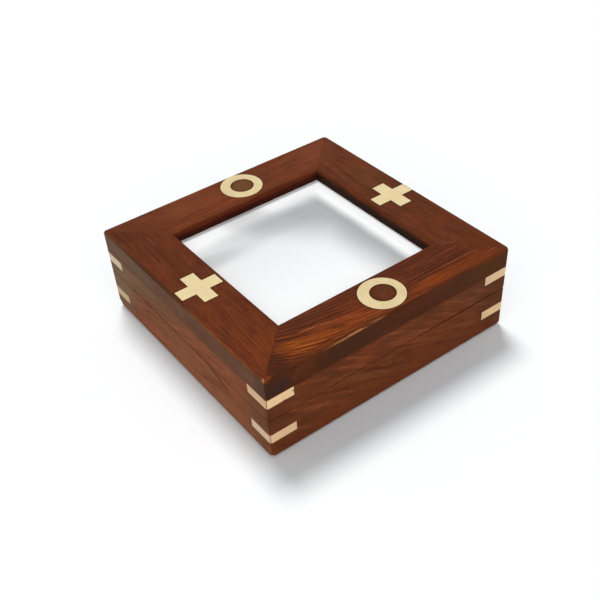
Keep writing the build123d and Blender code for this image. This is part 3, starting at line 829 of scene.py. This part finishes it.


# White glass in the window, with a painted soft grey shadow along its back and right edges
panel = {
    "tone": (250, 250, 250), "margin": (255, 255, 255), "dust": (234, 234, 234),
    "shade": (168, 168, 169), "roughness": 0.16, "gloss": 0.4, "bump": (0.03, 0.3),
    "ripple": {"every": 0.06, "detail": 2.0, "rough": 0.4, "from": (3.0, 1.0, 0.0), "sway": 3.0},
    "specks": {"every": 1.8, "detail": 2.0, "rough": 0.5, "level": (0.62, 0.78), "amount": 0.12,
               "dull": 0.08},
    "marginLevel": (38.0, 44.0), "spotSway": 0.5,
    # where the painted shadow lies: a band by the right edge, a band round the corner, soft spots
    # and a faint haze; shade is its grey
    "right": {"starts": 8.0, "full": 36.0, "fades": 34.0, "ends": 41.5, "top": 41.0,
              "fullTop": 28.0, "slant": 0.06},
    "corner": {"starts": -2.0, "full": 50.0, "top": 43.5, "fullTop": 28.5, "amount": 0.97},
    "spots": [
        patch((-47, 21, 44.5), (30, 8, 9), 0.42),
        patch((-24, 25, 44.5), (38, 14.5, 9), 0.26, lean=(1, 0, 0.10)),
        patch((39, 27, 44.5), (3.5, 16, 9), 0.33),
        patch((-6, 41, 44.5), (18, 19, 9), 0.44, lean=(0, 1, -0.3)),
        patch((6, 27, 44.5), (24, 13, 9), 0.34)],
    "shadowVeil": {"starts": -46.0, "full": 32.0, "top": 39.5, "fullTop": 28.0, "amount": 0.24}}


def glassWithPaintedShadow():
    paint = Paint("white_panel_glass_painted_shadow")
    place = paint.place()
    x, y, z = paint.parts(place)
    ripple, specks = panel["ripple"], panel["specks"]
    rippled = paint.noise(place * ripple["every"] + ripple["from"], ripple)
    dust = paint.noise(place * specks["every"], specks)
    wave = (rippled - noiseMiddle) * ripple["sway"]

    # each part of the painted shadow takes its share of the light that is left
    right, corner, shadowVeil = panel["right"], panel["corner"], panel["shadowVeil"]
    edge = paint.rise(x + wave, right["ends"], right["fades"])
    start = x + y * right["slant"] + wave
    upright = paint.rise(start, right["starts"], right["full"])
    upright = upright * paint.rise(y, right["top"], right["fullTop"])
    slantedShadow = paint.rise(x + y + wave, corner["starts"], corner["full"])
    slantedShadow = slantedShadow * paint.rise(y + wave, corner["top"], corner["fullTop"]) * corner["amount"]
    left = 1.0 - paint.greater(upright, slantedShadow) * edge
    waved = (x, y + wave * panel["spotSway"], z)
    for spot in panel["spots"]:
        left = left * (1.0 - softSpot(paint, waved, spot) * edge)
    shadowHaze = paint.rise(y, shadowVeil["starts"], shadowVeil["full"])
    shadowHaze = shadowHaze * paint.rise(y, shadowVeil["top"], shadowVeil["fullTop"]) * edge
    left = left * (1.0 - shadowHaze * shadowVeil["amount"])
    # painted light: pure white along the back and right edges, where the walls' shade falls on the
    # panel
    outside = paint.rise(paint.greater(x, y), *panel["marginLevel"])
    clear = paint.mix(outside, tone(*panel["tone"]), tone(*panel["margin"]))
    colour = paint.mix(left, tone(*panel["shade"]), clear)
    dusty = paint.rise(dust, *specks["level"]) * specks["amount"]
    colour = paint.mix(dusty, colour, tone(*panel["dust"]))
    depth, strength = panel["bump"]
    return paint.surface({
        "Base Color": colour, "Specular IOR Level": panel["gloss"],
        "Roughness": panel["roughness"] + (dust - noiseMiddle) * specks["dull"],
        "Normal": paint.bump(rippled, depth, strength)})


dress("white_panel", glassWithPaintedShadow())
print("panel finished")

# Floor, light and camera, in metres, but the floor's two places of painted cool tint are in
# millimetres
floorLook = {
    "size": 6.0, "tone": (0.985, 0.995, 1.0, 1.0), "cool": (0.93, 0.975, 1.0, 1.0),
    "front": patch((0, -86, 0), (112, 26, 10)), "left": patch((-77, 0, 0), (24, 100, 10))}


def makeFloor():
    reach = floorLook["size"] / 2
    corners = [(-reach, -reach, 0), (reach, -reach, 0), (reach, reach, 0), (-reach, reach, 0)]
    mesh = bpy.data.meshes.new("floor")
    mesh.from_pydata(corners, [], [(0, 1, 2, 3)])
    floor = bpy.data.objects.new("floor", mesh)
    bpy.context.scene.collection.objects.link(floor)
    paint = Paint("floor_paper")
    point = paint.parts(paint.place())
    front, left = [softSpot(paint, point, floorLook[side]) for side in ("front", "left")]
    # painted cool tint in the box's shadow, in front and at the left, against the warm glow of the
    # wood
    colour = paint.mix(paint.greater(front, left), floorLook["tone"], floorLook["cool"])
    paper = paint.node("ShaderNodeBsdfDiffuse", None, {"Color": colour})
    paint.node("ShaderNodeOutputMaterial", None, {"Surface": paper})
    mesh.materials.append(paint.material)


def seenRay(paint):
    # 1 for what the camera sees, by itself or in a reflection
    seen, glossy, clear = paint.node("ShaderNodeLightPath", output=(
        "Is Camera Ray", "Is Glossy Ray", "Is Transmission Ray"))
    return paint.greater(seen, paint.greater(glossy, clear))


light = {
    "fill": 0.235, "fillTone": (0.93, 0.975, 1.0, 1.0), "background": (1, 1, 1, 1),
    "overhead": {"from": (0.15, 0.46, 1.0), "strength": 1.95, "spread": 19.0},
    "front": {"from": (-0.52, -0.66, 0.90), "strength": 1.05, "spread": 70.0}}


def makeLight():
    world = bpy.data.worlds.new("studio")
    bpy.context.scene.world = world
    world.use_nodes = True
    paint = Paint("studio", world.node_tree)
    fill = paint.node("ShaderNodeBackground", None, {
        "Color": light["fillTone"], "Strength": light["fill"]})
    white = paint.node("ShaderNodeBackground", None, {
        "Color": light["background"], "Strength": 1.0})
    sky = paint.node("ShaderNodeMixShader", None, {0: seenRay(paint), 1: fill, 2: white})
    paint.node("ShaderNodeOutputWorld", None, {"Surface": sky})

    for name in ("overhead", "front"):
        softbox = light[name]
        lamp = bpy.data.lights.new(name + "_softbox", "SUN")
        lamp.energy = softbox["strength"]
        lamp.angle = math.radians(softbox["spread"])
        holder = bpy.data.objects.new(name + "_softbox", lamp)
        bpy.context.scene.collection.objects.link(holder)
        holder.rotation_mode = "QUATERNION"
        holder.rotation_quaternion = Vector(softbox["from"]).to_track_quat("Z", "Y")
        holder.visible_glossy = False


camera = {
    "at": (-0.21457, -0.31242, 0.31961), "turn": 33.824, "down": 43.14, "roll": -4.249,
    "lens": 52.861, "sensor": 36.0, "shift": 0.1, "nearest": 0.01}


def makeCamera():
    lens = bpy.data.cameras.new("camera")
    lens.lens = camera["lens"]
    lens.sensor_width = camera["sensor"]
    lens.shift_y = camera["shift"]
    lens.clip_start = camera["nearest"]
    eye = bpy.data.objects.new("camera", lens)
    bpy.context.scene.collection.objects.link(eye)
    turn, down, roll = [math.radians(camera[part]) for part in ("turn", "down", "roll")]
    level = math.cos(down)
    ahead = Vector((math.sin(turn) * level, math.cos(turn) * level, -math.sin(down)))
    aim = ahead.to_track_quat("-Z", "Y").to_matrix() @ Matrix.Rotation(roll, 3, "Z")
    eye.matrix_world = Matrix.Translation(camera["at"]) @ aim.to_4x4()
    bpy.context.scene.camera = eye


makeFloor()
makeLight()
makeCamera()
bpy.context.scene.view_settings.view_transform = "Standard"
print("floor, light and camera set")
